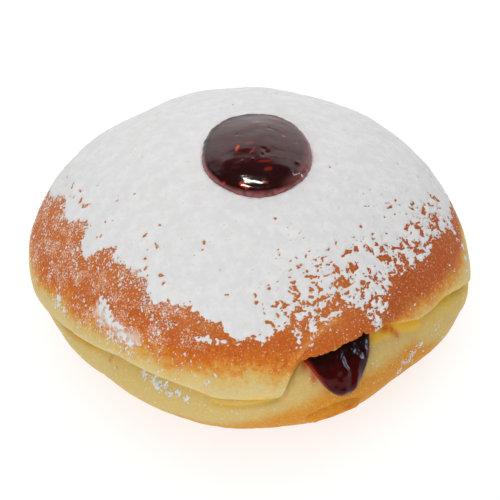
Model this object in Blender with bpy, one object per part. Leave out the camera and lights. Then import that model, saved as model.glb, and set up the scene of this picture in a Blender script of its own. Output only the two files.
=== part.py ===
"""Jam doughnut: a round fried bun with jam on its crown and an open slit in its side.

The bun stands on its flat underside at z = 0. Its crown and lower half turn about one
upright axis, and azimuth is measured round it in degrees from -Y, which is the front,
and grows towards +X. Sizes are in metres, and those in the tables are in millimetres.
"""

import math

import bmesh
import bpy
import numpy as np

MM = 0.001

# The axis stands a little off the middle of the bun's box, which is the origin
AXIS_X = 0.55 * MM
AXIS_Y = -0.6 * MM

# The bun's height, and how round it is below
EQUATOR_HEIGHT = 18.8 * MM
CROWN_RISE = 30.6 * MM
UNDERSIDE_REACH = 1.1
UNDERSIDE_FULLNESS = 2.1

# The widest radius of the cap and of the lower half, by azimuth
CAP_RADIUS = (
    (-160, 48.6), (-140, 47.9), (-120, 48.7), (-100, 48.5), (-80, 46.9), (-60, 44.6),
    (-40, 46.9), (-20, 47.8), (0, 47.5), (20, 47.4), (40, 46.9), (60, 46.4),
    (80, 47.3), (100, 46.4), (120, 46.2), (140, 47.2), (160, 47.4), (180, 48.4),
)
LOWER_RADIUS = (
    (-130, 47.2), (-95, 46.2), (-70, 43.0), (-50, 42.8), (-25, 44.3), (0, 45.3),
    (25, 44.9), (48, 43.2), (70, 45.9), (90, 46.6), (130, 45.4), (180, 46.8),
)

# The height of the cap's edge above the equator, by azimuth. It steps up at the slit.
SEAM_RISE = (
    (-130, 0.0), (-90, -2.5), (-66, -1.0), (-54, 1.4), (-44, 4.0), (-36, 5.1), (-24, 5.0),
    (-15, 4.3), (-9, 3.1), (4, 3.1), (7.5, 3.6), (10.5, 7.3), (14, 10.0), (22, 10.8),
    (30, 11.6), (38, 11.2), (47, 9.5), (54, 7.3), (66, 6.2), (77, 2.8), (87, -1.5),
    (120, 0.0), (180, 0.5),
)

# How deep the crease under the cap's edge is, and how wide it gapes, by azimuth
CREASE_DEPTH = (
    (-120, 2.6), (-75, 3.0), (-38, 4.2), (-18, 3.4), (-5, 2.0), (6, 2.4), (14, 9.0),
    (22, 13.0), (32, 11.0), (42, 6.0), (56, 4.0), (75, 2.6), (120, 2.6), (180, 2.6),
)
CREASE_GAP = (
    (-120, 0.4), (-38, 0.8), (0, 0.4), (8, 0.5), (15, 1.6), (24, 3.0), (34, 2.2),
    (44, 1.2), (60, 0.6), (120, 0.4),
)
CREASE_BEYOND_EDGE = 0.5 * MM

# The rounding of the cap's edge, and of the lower half's shoulder, by azimuth
CAP_EDGE_ROUND = (
    (-120, 1.8), (-90, 2.2), (-38, 2.4), (0, 1.4), (8, 1.2), (16, 0.9), (34, 0.9),
    (46, 1.4), (70, 2.0), (120, 1.8),
)
SHOULDER_ROUND = (
    (-120, 3.6), (-38, 5.0), (0, 4.0), (8, 4.5), (16, 8.5), (36, 9.0), (52, 6.5),
    (75, 4.5), (120, 3.6),
)

# The lower half is widest just below the equator, or this far below a low crease
WAIST_DROP = 0.6 * MM
WAIST_BELOW_CREASE = 2.2 * MM

# The jam on top, in its shallow dimple, measured from the axis
TOPPING_X = 1.1 * MM
TOPPING_Y = 0.3 * MM
TOPPING_ACROSS = 11.6 * MM
TOPPING_ALONG = 13.0 * MM
TOPPING_WAVE = 0.012
TOPPING_WALL = 2.1 * MM
TOPPING_DOME = 1.9 * MM
TOPPING_LEAN = 0.12
TOPPING_EDGE_ROUND = 1.2 * MM
TOPPING_FOOT_ROUND = 0.4 * MM
TOPPING_SIDES = 32
TOPPING_RING_SHARES = (0.2, 0.4, 0.6, 0.76)
TOPPING_EDGE_RINGS = 4
DIMPLE_DEPTH = 0.8 * MM

# The jam inside, as distance along its way out from the axis, half width and half height.
# It comes out of the slit as a tongue that hangs over the lower half's shoulder.
FILLING_AZIMUTH = 26.0
FILLING_RISE = 8.5 * MM
HEART = (
    (-11.0, 4.5, 1.8), (-9.0, 9.0, 3.5), (-4.0, 12.5, 4.8), (3.0, 13.5, 5.2),
    (12.0, 12.8, 4.8), (21.0, 10.6, 3.8), (28.0, 9.4, 2.9), (33.0, 9.0, 2.3),
)
HEART_END = -12.0 * MM
TONGUE_HALF_WIDTH = 8.9 * MM
TONGUE_HALF_HEIGHT = 2.0 * MM
TONGUE_STAND = 1.0 * MM
TONGUE_TAPER = 0.62
TONGUE_TAPER_CURVE = 1.3
TONGUE_TIP_BLUNTNESS = 8
TONGUE_TIP_LEAN = math.radians(6.5)
TONGUE_DRIFT = 0.8 * MM
TONGUE_DRIFT_CURVE = 2.0
TONGUE_RINGS = 12
FILLING_SIDES = 24
CLEARANCE = 0.3 * MM

# How finely the bun is divided, and closer together round the slit
FINE_FROM, FINE_TO, FINE_STEP = 0.0, 60.0, 2.5
COARSE_STEP = 6.0
CROWN_RINGS = 17
EDGE_RINGS = 4
SHOULDER_RINGS = 6
UNDERSIDE_RINGS = 9
SHARP_ANGLE = math.radians(50.0)


def by_azimuth(table, azimuth):
    """The value at an azimuth, in metres: a smooth curve through the rows of a table."""
    angle = table[0][0] + (azimuth - table[0][0]) % 360.0
    here = max(i for i, row in enumerate(table) if row[0] <= angle)
    rows = []
    for step in (-1, 0, 1, 2):
        turns, index = divmod(here + step, len(table))
        rows.append((table[index][0] + 360.0 * turns, table[index][1]))
    slopes = [(b[1] - a[1]) / (b[0] - a[0]) for a, b in zip(rows, rows[1:])]
    # A row where the curve turns back is level, so nothing overshoots
    start_slope, end_slope = (
        2.0 * a * b / (a + b) if a * b > 0.0 else 0.0 for a, b in zip(slopes, slopes[1:])
    )
    span = rows[2][0] - rows[1][0]
    share = (angle - rows[1][0]) / span
    drift = rows[2][1] - rows[1][1] - span * start_slope
    bend = span * (end_slope - start_slope) - 2.0 * drift
    value = rows[1][1] + span * start_slope * share + drift * share**2
    return (value + bend * share**2 * (share - 1.0)) * MM


def around_axis(azimuth, radius, height):
    """The point at an azimuth, a radius from the axis and a height."""
    turn = math.radians(azimuth)
    return (AXIS_X + radius * math.sin(turn), AXIS_Y - radius * math.cos(turn), height)


def dimple(across, along):
    """How far the crown sinks at a place measured from the axis, under the jam on top."""
    off = math.hypot((across - TOPPING_X) / TOPPING_ACROSS, (along - TOPPING_Y) / TOPPING_ALONG)
    return DIMPLE_DEPTH * math.exp(-(off**4))


def crown_height(across, along):
    """The height of the crown above a place measured from the axis."""
    azimuth = math.degrees(math.atan2(across, -along))
    share = math.hypot(across, along) / by_azimuth(CAP_RADIUS, azimuth)
    rise = CROWN_RISE * math.sqrt(1.0 - share**2)
    return EQUATOR_HEIGHT + rise - dimple(across, along)


def between(start, end, share):
    """The point a share of the way from one point to another."""
    return tuple(a + (b - a) * share for a, b in zip(start, end))


def arc(centre, across, up, start, end, steps):
    """Points (radius, height) along an elliptical arc, from start to end in degrees."""
    turns = [math.radians(start + (end - start) * i / steps) for i in range(steps + 1)]
    return [(centre[0] + across * math.cos(t), centre[1] + up * math.sin(t)) for t in turns]


def crown_profile(azimuth, edge_height):
    """(radius, height) from beside the apex down to where the cap's edge turns under."""
    widest = by_azimuth(CAP_RADIUS, azimuth)
    edge_turn = math.acos((edge_height - EQUATOR_HEIGHT) / CROWN_RISE)
    sine, cosine = math.sin(math.radians(azimuth)), math.cos(math.radians(azimuth))
    points = []
    for ring in range(1, CROWN_RINGS + 1):
        turn = edge_turn * ring / CROWN_RINGS
        radius = widest * math.sin(turn)
        height = EQUATOR_HEIGHT + CROWN_RISE * math.cos(turn)
        points.append((radius, height - dimple(radius * sine, -radius * cosine)))
    return points


def shoulder_shape(azimuth, top):
    """The centre of the lower half's shoulder, and how far it reaches across and up."""
    waist = min(EQUATOR_HEIGHT - WAIST_DROP, top - WAIST_BELOW_CREASE)
    across = by_azimuth(SHOULDER_ROUND, azimuth)
    return (by_azimuth(LOWER_RADIUS, azimuth) - across, waist), across, top - waist


def lower_profile(azimuth, floor_start, top):
    """(radius, height) from the crease's floor, over the shoulder and down to the foot."""
    centre, across, up = shoulder_shape(azimuth, top)
    shoulder = arc(centre, across, up, 90, 0, SHOULDER_RINGS)
    points = [floor_start, between(floor_start, shoulder[0], 0.5)] + shoulder
    widest, waist = centre[0] + across, centre[1]
    for ring in range(1, UNDERSIDE_RINGS + 1):
        drop = math.sin(0.5 * math.pi * ring / UNDERSIDE_RINGS)
        left = 1.0 - (drop / UNDERSIDE_REACH) ** UNDERSIDE_FULLNESS
        points.append((widest * left ** (1.0 / UNDERSIDE_FULLNESS), waist * (1.0 - drop)))
    return points


def bun_profile(azimuth):
    """(radius, height) from beside the apex, in and out of the crease, down to the foot."""
    seam = EQUATOR_HEIGHT + by_azimuth(SEAM_RISE, azimuth)
    edge_round = by_azimuth(CAP_EDGE_ROUND, azimuth)
    gap = by_azimuth(CREASE_GAP, azimuth)
    points = crown_profile(azimuth, seam + edge_round)
    edge_radius = points[-1][0]
    edge_centre = (edge_radius - edge_round, seam + edge_round)
    points += arc(edge_centre, edge_round, edge_round, 0, -90, EDGE_RINGS)[1:]

    depth = max(by_azimuth(CREASE_DEPTH, azimuth), edge_round + CREASE_BEYOND_EDGE)
    roof_start, roof_end = points[-1], (edge_radius - depth, seam - 0.35 * gap)
    points += [between(roof_start, roof_end, share) for share in (0.5, 1.0)]
    floor_start = (edge_radius - depth, seam - 0.65 * gap)
    return points + lower_profile(azimuth, floor_start, seam - gap)


def make_material(name, colour, roughness):
    """A plain surface with a colour and a roughness."""
    made = bpy.data.materials.new(name)
    made.use_nodes = True
    shader = made.node_tree.nodes["Principled BSDF"]
    shader.inputs["Base Color"].default_value = (*colour, 1.0)
    shader.inputs["Roughness"].default_value = roughness
    shader.inputs["Metallic"].default_value = 0.0
    return made


def make_solid(name, rings, ends, surface):
    """A closed object from rings of points, with a point or None (a flat face) at each end."""
    mesh = bmesh.new()
    loops = [[mesh.verts.new(point) for point in ring] for ring in rings]
    sides = len(loops[0])
    for upper, lower in zip(loops, loops[1:]):
        for i in range(sides):
            j = (i + 1) % sides
            mesh.faces.new((upper[i], lower[i], lower[j], upper[j]))
    for loop, end in zip((loops[0], loops[-1]), ends):
        if end is None:
            mesh.faces.new(loop)
            continue
        tip = mesh.verts.new(end)
        for i in range(sides):
            mesh.faces.new((loop[i], loop[(i + 1) % sides], tip))
    bmesh.ops.recalc_face_normals(mesh, faces=mesh.faces)
    data = bpy.data.meshes.new(name)
    mesh.to_mesh(data)
    mesh.free()
    data.shade_smooth()
    data.set_sharp_from_angle(angle=SHARP_ANGLE)
    data.materials.append(surface)
    made = bpy.data.objects.new(name, data)
    bpy.context.scene.collection.objects.link(made)
    return made


def make_bun():
    """The dough: cap, crease, slit and lower half in one solid, with a flat foot."""
    fine = np.arange(FINE_FROM, FINE_TO, FINE_STEP)
    coarse = np.arange(FINE_TO, FINE_FROM + 360.0, COARSE_STEP)
    azimuths = np.concatenate([fine, coarse])
    profiles = [bun_profile(azimuth) for azimuth in azimuths]
    rings = [
        [around_axis(azimuth, *point) for azimuth, point in zip(azimuths, ring)]
        for ring in zip(*profiles)
    ]
    apex = around_axis(0.0, 0.0, crown_height(0.0, 0.0))
    crust = make_material("crust", (0.52, 0.22, 0.06), 0.6)
    return make_solid("dough", rings, (apex, None), crust)


def topping_ring(share, lift):
    """A ring of the jam on top, at a share of its size and a lift above the dimple.

    The jam is oval, and a little thicker towards the back.
    """
    ring = []
    for side in range(TOPPING_SIDES):
        turn = 2.0 * math.pi * side / TOPPING_SIDES
        reach = (1.0 + TOPPING_WAVE * math.cos(5 * turn + 1.0)) * share
        across = TOPPING_X + TOPPING_ACROSS * reach * math.cos(turn)
        along = TOPPING_Y + TOPPING_ALONG * reach * math.sin(turn)
        thickness = lift * (1.0 + TOPPING_LEAN * reach * math.sin(turn))
        height = crown_height(across, along) + CLEARANCE + thickness
        ring.append((AXIS_X + across, AXIS_Y + along, height))
    return ring


def topping_lift(share):
    """How high the jam on top stands above the dimple, at a share of its radius."""
    return TOPPING_WALL + TOPPING_DOME * (1.0 - share**2)


def make_topping():
    """The jam on top: a low dome with a rounded rim, clear of the dimple below it."""
    rings = [topping_ring(share, topping_lift(share)) for share in TOPPING_RING_SHARES]
    edge = 1.0 - TOPPING_EDGE_ROUND / TOPPING_ACROSS
    for step in range(TOPPING_EDGE_RINGS):
        turn = 0.5 * math.pi * step / (TOPPING_EDGE_RINGS - 1)
        share = edge + (1.0 - edge) * math.sin(turn)
        lift = topping_lift(edge) - TOPPING_EDGE_ROUND * (1.0 - math.cos(turn))
        rings.append(topping_ring(share, lift))
    rings.append(topping_ring(1.0, TOPPING_FOOT_ROUND))
    rings.append(topping_ring(1.0 - TOPPING_FOOT_ROUND / TOPPING_ACROSS, 0.0))
    rings += [topping_ring(share, 0.0) for share in reversed(TOPPING_RING_SHARES)]
    x, y = AXIS_X + TOPPING_X, AXIS_Y + TOPPING_Y
    foot = crown_height(TOPPING_X, TOPPING_Y) + CLEARANCE
    ends = ((x, y, foot + topping_lift(0.0)), (x, y, foot))
    return make_solid("jam_topping", rings, ends, make_material("jam", (0.10, 0.008, 0.012), 0.12))


def filling_way():
    """Rows along the jam inside: radius, drift, height, lean, half width and half height.

    The lean is the angle of a ring's upright, which tips outwards over the shoulder, and
    the drift is how far the ring lies towards the front of the filling's azimuth. The last
    row is the tip.
    """
    height = EQUATOR_HEIGHT + FILLING_RISE
    way = [(radius * MM, 0.0, height, 0.5 * math.pi, w * MM, h * MM) for radius, w, h in HEART]
    seam = EQUATOR_HEIGHT + by_azimuth(SEAM_RISE, FILLING_AZIMUTH)
    top = seam - by_azimuth(CREASE_GAP, FILLING_AZIMUTH)
    centre, across, up = shoulder_shape(FILLING_AZIMUTH, top)
    for step in range(TONGUE_RINGS + 1):
        share = step / TONGUE_RINGS
        lean = 0.5 * math.pi + (TONGUE_TIP_LEAN - 0.5 * math.pi) * share
        radius = centre[0] + (across + TONGUE_STAND) * math.cos(lean)
        height = centre[1] + (up + TONGUE_STAND) * math.sin(lean)
        drift = TONGUE_DRIFT * share**TONGUE_DRIFT_CURVE
        blunt = math.sqrt(1.0 - share**TONGUE_TIP_BLUNTNESS)
        half_width = TONGUE_HALF_WIDTH * (1.0 - TONGUE_TAPER * share**TONGUE_TAPER_CURVE)
        way.append((radius, drift, height, lean, half_width * blunt, TONGUE_HALF_HEIGHT * blunt))
    return way


def beside_filling(radius, off, height):
    """The point at a radius from the axis, an offset to the filling's right and a height."""
    turn = math.radians(FILLING_AZIMUTH)
    x, y, z = around_axis(FILLING_AZIMUTH, radius, height)
    return (x + off * math.cos(turn), y + off * math.sin(turn), z)


def make_filling(name, extra, surface):
    """The jam inside, from the bun's middle to the tongue's tip, larger by the extra."""
    *way, tip = filling_way()
    rings = []
    for radius, drift, height, lean, half_width, half_height in way:
        ring = []
        for side in range(FILLING_SIDES):
            around = 2.0 * math.pi * side / FILLING_SIDES
            off = (half_width + extra) * math.cos(around) - drift
            lift = (half_height + extra) * math.sin(around)
            ring.append(
                beside_filling(radius + lift * math.cos(lean), off, height + lift * math.sin(lean))
            )
        rings.append(ring)
    inner_end = beside_filling(HEART_END - extra, 0.0, EQUATOR_HEIGHT + FILLING_RISE)
    tip_end = beside_filling(tip[0], -tip[1], tip[2] - extra)
    return make_solid(name, rings, (inner_end, tip_end), surface)


def hollow_out(bun):
    """Cuts the room for the jam inside out of the bun, with clearance all round."""
    cutter = make_filling("filling_room", CLEARANCE, bun.data.materials[0])
    cutter.hide_render = True
    cutter.display_type = "WIRE"
    cut = bun.modifiers.new("filling_room", "BOOLEAN")
    cut.operation = "DIFFERENCE"
    cut.solver = "EXACT"
    cut.object = cutter


def clear_scene():
    """Removes whatever the scene holds."""
    for old in list(bpy.data.objects):
        bpy.data.objects.remove(old)


def main():
    """Builds the bun and its two lots of jam."""
    clear_scene()
    hollow_out(make_bun())
    make_filling("jam_filling", 0.0, make_material("jam_inside", (0.07, 0.006, 0.009), 0.15))
    make_topping()


main()
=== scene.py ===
"""The looks of the jam doughnut: its crust, icing sugar, jam, light and camera.

Shapes are worked out in millimetres from the same tables as the solids. Azimuth is measured
round the bun's upright axis in degrees from -Y, which is the front, and grows towards +X.
Turn is the angle down the crown from its apex, and rise is the height above the equator.
"""

import itertools
import math

import bpy
import numpy as np
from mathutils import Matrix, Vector


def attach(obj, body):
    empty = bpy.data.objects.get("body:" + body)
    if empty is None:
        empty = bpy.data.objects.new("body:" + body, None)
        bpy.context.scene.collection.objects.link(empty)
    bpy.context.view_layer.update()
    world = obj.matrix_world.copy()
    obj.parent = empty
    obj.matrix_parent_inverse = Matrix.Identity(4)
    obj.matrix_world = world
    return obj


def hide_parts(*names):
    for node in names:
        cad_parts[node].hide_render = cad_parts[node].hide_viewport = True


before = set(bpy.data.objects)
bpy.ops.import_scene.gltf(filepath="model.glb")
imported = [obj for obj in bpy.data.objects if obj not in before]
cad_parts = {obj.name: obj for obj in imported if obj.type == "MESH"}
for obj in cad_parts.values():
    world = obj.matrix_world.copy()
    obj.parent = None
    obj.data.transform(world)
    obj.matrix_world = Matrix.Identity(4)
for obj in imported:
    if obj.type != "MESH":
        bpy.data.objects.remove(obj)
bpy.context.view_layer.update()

MM = 0.001

# The form of the solids, as the part's source has it
AXIS_X, AXIS_Y = 0.55, -0.6
EQUATOR_HEIGHT = 18.8
CROWN_RISE = 30.6
UNDERSIDE_REACH = 1.1
UNDERSIDE_FULLNESS = 2.1
CAP_RADIUS = tuple(zip(range(-160, 181, 20), (
    48.6, 47.9, 48.7, 48.5, 46.9, 44.6, 46.9, 47.8, 47.5,
    47.4, 46.9, 46.4, 47.3, 46.4, 46.2, 47.2, 47.4, 48.4,
)))
LOWER_RADIUS = (
    (-130, 47.2), (-95, 46.2), (-70, 43), (-50, 42.8), (-25, 44.3), (0, 45.3),
    (25, 44.9), (48, 43.2), (70, 45.9), (90, 46.6), (130, 45.4), (180, 46.8),
)
SEAM_RISE = (
    (-130, 0), (-90, -2.5), (-66, -1), (-54, 1.4), (-44, 4), (-36, 5.1), (-24, 5),
    (-15, 4.3), (-9, 3.1), (4, 3.1), (7.5, 3.6), (10.5, 7.3), (14, 10), (22, 10.8),
    (30, 11.6), (38, 11.2), (47, 9.5), (54, 7.3), (66, 6.2), (77, 2.8), (87, -1.5),
    (120, 0), (180, 0.5),
)
CREASE_DEPTH = (
    (-120, 2.6), (-75, 3), (-38, 4.2), (-18, 3.4), (-5, 2), (6, 2.4), (14, 9),
    (22, 13), (32, 11), (42, 6), (56, 4), (75, 2.6), (120, 2.6), (180, 2.6),
)
CREASE_GAP = (
    (-120, 0.4), (-38, 0.8), (0, 0.4), (8, 0.5), (15, 1.6), (24, 3), (34, 2.2),
    (44, 1.2), (60, 0.6), (120, 0.4),
)
CREASE_BEYOND_EDGE = 0.5
CAP_EDGE_ROUND = (
    (-120, 1.8), (-90, 2.2), (-38, 2.4), (0, 1.4), (8, 1.2), (16, 0.9), (34, 0.9),
    (46, 1.4), (70, 2), (120, 1.8),
)
SHOULDER_ROUND = (
    (-120, 3.6), (-38, 5), (0, 4), (8, 4.5), (16, 8.5), (36, 9), (52, 6.5),
    (75, 4.5), (120, 3.6),
)
WAIST_DROP = 0.6
WAIST_BELOW_CREASE = 2.2

TOPPING_X, TOPPING_Y = 1.1, 0.3
TOPPING_ACROSS, TOPPING_ALONG = 11.6, 13
TOPPING_WAVE = 0.012
TOPPING_WALL = 2.1
TOPPING_DOME = 1.9
TOPPING_LEAN = 0.12
TOPPING_EDGE_ROUND = 1.2
TOPPING_FOOT_ROUND = 0.4
DIMPLE_DEPTH = 0.8
CLEARANCE = 0.3

FILLING_AZIMUTH = 26
FILLING_RISE = 8.5
HEART = (
    (-11, 4.5, 1.8), (-9, 9, 3.5), (-4, 12.5, 4.8), (3, 13.5, 5.2),
    (12, 12.8, 4.8), (21, 10.6, 3.8), (28, 9.4, 2.9), (33, 9, 2.3),
)
HEART_END = -12
TONGUE_HALF_WIDTH = 8.9
TONGUE_HALF_HEIGHT = 2
TONGUE_STAND = 1
TONGUE_TAPER = 0.62
TONGUE_TAPER_CURVE = 1.3
TONGUE_TIP_BLUNTNESS = 8
TONGUE_TIP_LEAN = math.radians(6.5)
TONGUE_DRIFT = 0.8
TONGUE_DRIFT_CURVE = 2

# Where the brown crust turns pale, as a rise above the equator, by azimuth
BROWN_EDGE = (
    (-130, 4.5), (-90, 3.3), (-74, 3.9), (-66, 5.4), (-58, 5.4), (-46, 8.4), (-31, 10),
    (-19, 8.7), (-8, 8.9), (9, 8.9), (14, 7.5), (26, 7.5), (36, 8.8), (41, 9.9), (53, 10),
    (60, 9.5), (69, 8.9), (79, 8.3), (90, 7.2), (125, 4.5), (180, 6.5),
)
# How high the golden tint climbs up the lower half, as a rise, by azimuth
GOLD_EDGE = (
    (-120, -10), (-60, -8.5), (-30, -7.5), (-8, -6), (6, -2), (14, 0.8), (24, 2.4),
    (38, 2.4), (50, 1.8), (58, -1), (68, -5.5), (90, -8.5), (120, -9),
)
# The lower edge of the dense sugar, as a turn in degrees, by azimuth
SUGAR_EDGE = (
    (-120, 66), (-104, 67), (-97, 60), (-93, 54), (-86, 58), (-75, 50), (-70, 57),
    (-66, 58.5), (-61, 50), (-58, 47), (-55, 51), (-45, 48.5), (-41, 47.5),
    (-38, 49), (-34, 52.5), (-32, 55), (-28.5, 51.5), (-22, 50.5), (-18, 53.5),
    (-10, 55.5), (-5.5, 59.5), (2, 60.5), (8.5, 58), (13, 54), (19, 54.5), (24, 55),
    (29, 53.5), (34, 57.5), (37, 62), (40, 61.5), (43, 60), (46, 57.5), (50, 56),
    (55.5, 55.3), (59, 57), (64, 58.5), (69, 59.5), (72, 58), (76, 58), (80, 59.5),
    (86, 63), (92, 65), (98, 68.5), (103, 71), (120, 70), (140, 63), (180, 58),
    (200, 61), (220, 57),
)

# Ridges above the lip: a path of (azimuth, rise) each, with a flatter facet below the path
RIDGES = (
    ((9.5, 9.8), (13.3, 12.4), (14.7, 13.4), (18.8, 15.1), (23.1, 16.2), (28, 16.8)),
    ((37, 13), (41, 14.1), (44, 15.1), (46.5, 15.8), (49, 16.5), (52.6, 17), (58, 17.5)),
)
RIDGE_HALF_WIDTH, RIDGE_HEIGHT = 0.8, 0.4
FACET_DEPTH = 0.45
# Folds in the skin: a path of (azimuth, rise), its half width and its height in mm
FOLDS = (
    (((-12, 0.9), (-8, 0.4), (-3, 0.5), (4, 1.1), (9, 1.8)), 0.45, -0.4),
    (((-12, -0.6), (-6, -1), (2, -0.6), (8, 0.4)), 0.9, 0.2),
    (((-3, 4.6), (3, 4.3), (7, 4.6)), 0.35, -0.3),
    (((14, -5), (18, -3.9), (21, -3.1), (24.4, -2.6), (27.5, -3.1), (32, -4.2)), 0.55, -1.1),
    (((15, -6.6), (20, -5.4), (24.4, -4.6), (28.5, -4.9), (32, -5.9)), 0.9, 0.75),
    (((-78, -4.4), (-66, -2.6), (-57, -0.6), (-50, 1)), 0.5, -0.3),
    (((60, 9.6), (66, 8.2), (74, 6), (80, 3.6)), 0.6, -0.25),
    (((33, 12.6), (34.5, 13.6), (36.5, 15.4)), 0.5, -0.35),
    (((3, 10.9), (4.8, 10), (6.5, 9.2), (9, 9)), 0.35, 0.4),
    (((3, 9.9), (4.8, 9), (6.5, 8.3), (9, 8.2)), 0.35, -0.25),
)
FOLD_END = 2.5
# Stretches of the bun by azimuth: where each starts and ends, and how softly
TORN_LIP = (12, 50, 6)
# The stretch beside the slit and the yellow one at the right widen the painted crease shade
BESIDE_SLIT = (35, 54, 6)
YELLOW_RIGHT = (60, 95, 8)
DEEP_RIGHT = (44, 120, 16)
DUSTY_LEFT = (-160, -25, 35)
SMEARED_LEFT = (-50, -33, 5)
CRUMBED_LEFT = (-150, -35, 30)
BROKEN_SUGAR = (12, 82, 20)
# The bun's radius at its sugared crown, at its stains and at its heaps of crumbs
CROWN_RADIUS, STAIN_RADIUS, HEAP_RADIUS = 47, 45, 44

NOISE_CELLS = 48
NOISE_GAIN = 1.6
RANDOM = np.random.default_rng(11)
GRADIENTS = RANDOM.normal(size=(NOISE_CELLS, NOISE_CELLS, NOISE_CELLS, 3))
GRADIENTS /= np.linalg.norm(GRADIENTS, axis=-1, keepdims=True)


def noise(points, scale, seed):
    """Smooth noise of about -1 to 1 whose features are about a scale wide, in mm."""
    cell = np.asarray(points, float) / scale + seed * np.array([3.7, 8.3, 5.9])
    base = np.floor(cell).astype(int)
    part = cell - base
    fade = part**3 * (part * (6 * part - 15) + 10)
    total = np.zeros(cell.shape[:-1])
    for corner in itertools.product((0, 1), repeat=3):
        index = (base + corner) % NOISE_CELLS
        slope = GRADIENTS[index[..., 0], index[..., 1], index[..., 2]]
        weight = np.prod(np.where(np.array(corner) == 1, fade, 1 - fade), axis=-1)
        total += weight * np.sum(slope * (part - corner), axis=-1)
    return total * NOISE_GAIN


def fractal(points, scale, seed, octaves, keep=0.5):
    """Octaves of noise, each half as wide as the last and weaker by the share it keeps."""
    return sum(
        noise(points, scale / 2**i, seed + 17 * i) * keep**i for i in range(octaves)
    )


def smoothstep(low, high, value):
    """A smooth climb from 0 at low to 1 at high."""
    share = np.clip((value - low) / (high - low), 0, 1)
    return share * share * (3 - 2 * share)


def window(value, low, high, soft):
    """1 between low and high, and a smooth fall to 0 over the soft width beyond each."""
    return smoothstep(low - soft, low, value) * (1 - smoothstep(high, high + soft, value))


def bell(value, centre, width):
    """A bell of height 1 round a centre."""
    return np.exp(-(((value - centre) / width) ** 2))


def along(table, azimuth):
    """The values at azimuths: a smooth curve through the rows of a table, closed on itself."""
    rows = np.array(table, float)
    turns = np.concatenate([rows[-2:, 0] - 360, rows[:, 0], rows[:3, 0] + 360])
    values = np.concatenate([rows[-2:, 1], rows[:, 1], rows[:3, 1]])
    angle = rows[0, 0] + (np.asarray(azimuth, float) - rows[0, 0]) % 360
    slopes = np.diff(values) / np.diff(turns)
    before, after = slopes[:-1], slopes[1:]
    # A row where the curve turns back is level, so nothing overshoots
    level = before * after <= 0
    total = np.where(level, 1, before + after)
    tangents = np.where(level, 0, 2 * before * after / total)
    here = np.searchsorted(turns, angle, side="right") - 1
    span = turns[here + 1] - turns[here]
    share = (angle - turns[here]) / span
    start = tangents[here - 1]
    drift = values[here + 1] - values[here] - span * start
    bend = span * (tangents[here] - start) - 2 * drift
    rise = values[here] + span * start * share + drift * share**2
    return rise + bend * share**2 * (share - 1)


def around_axis(azimuth, radius, height):
    """Points at azimuths, radii from the axis and heights."""
    turn = np.radians(azimuth)
    x = AXIS_X + radius * np.sin(turn)
    y = AXIS_Y - radius * np.cos(turn)
    return np.stack(np.broadcast_arrays(x, y, height), axis=-1)


def azimuth_of(points):
    """The azimuth in degrees of points."""
    return np.degrees(np.arctan2(points[..., 0] - AXIS_X, AXIS_Y - points[..., 1]))


def arc_length(degrees, radius):
    """The length of an arc of so many degrees."""
    return degrees * math.radians(1) * radius


def from_topping(x, y):
    """How far a place, measured from the axis, is from the jam's middle, as a share of it."""
    return np.hypot((x - TOPPING_X) / TOPPING_ACROSS, (y - TOPPING_Y) / TOPPING_ALONG)


def dimple(x, y):
    """How far the crown sinks under the jam on top, at a place measured from the axis."""
    return DIMPLE_DEPTH * np.exp(-(from_topping(x, y) ** 4))


def crown_height(x, y):
    """The height of the crown above a place measured from the axis."""
    share = np.hypot(x, y) / along(CAP_RADIUS, np.degrees(np.arctan2(x, -y)))
    return EQUATOR_HEIGHT + CROWN_RISE * np.sqrt(1 - share**2) - dimple(x, y)


def crown_points(azimuth, turn):
    """Points of the crown at azimuths, and at turns in radians down from the apex."""
    radius = along(CAP_RADIUS, azimuth) * np.sin(turn)
    sine, cosine = np.sin(np.radians(azimuth)), np.cos(np.radians(azimuth))
    sunk = dimple(radius * sine, -radius * cosine)
    height = EQUATOR_HEIGHT + CROWN_RISE * np.cos(turn) - sunk
    return around_axis(azimuth, radius, height)


# Skin relief, in mm: broad lumps, puckers and a fine grain
LUMP_SCALE, LUMP_HEIGHT = 15, 0.3
PUCKER_SCALE, PUCKER_HEIGHT = 3.2, 0.06
GRAIN_SCALE, GRAIN_HEIGHT = 1.3, 0.025
JAM_CLEAR_INNER, JAM_CLEAR_OUTER = 0.9, 1.4
FOOT_CLEAR = 3


def beside_path(path, azimuth, rise):
    """How far above a path rises are, and 1 along the path but 0 past its ends."""
    rows = np.array(path)
    line = np.interp(azimuth, rows[:, 0], rows[:, 1])
    ends = window(azimuth, rows[0, 0] + FOLD_END, rows[-1, 0] - FOLD_END, FOLD_END)
    return rise - line, ends


def ridge_lines(azimuth, rise):
    """1 on the crests of the ridges above the lip, falling to 0 beside them."""
    total = np.zeros(np.broadcast(azimuth, rise).shape)
    for path in RIDGES:
        above, ends = beside_path(path, azimuth, rise)
        total = np.maximum(total, ends * bell(above, 0, RIDGE_HALF_WIDTH))
    return total


def fold_relief(azimuth, rise):
    """How far folds, ridges and facets stand proud of the skin, at azimuths and rises."""
    total = RIDGE_HEIGHT * ridge_lines(azimuth, rise)
    for path in RIDGES:
        above, ends = beside_path(path, azimuth, rise)
        total -= FACET_DEPTH * ends * window(above, -4.5, -1, 1)
    for path, half_width, height in FOLDS:
        above, ends = beside_path(path, azimuth, rise)
        total += height * ends * bell(above, 0, half_width)
    return total


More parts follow.
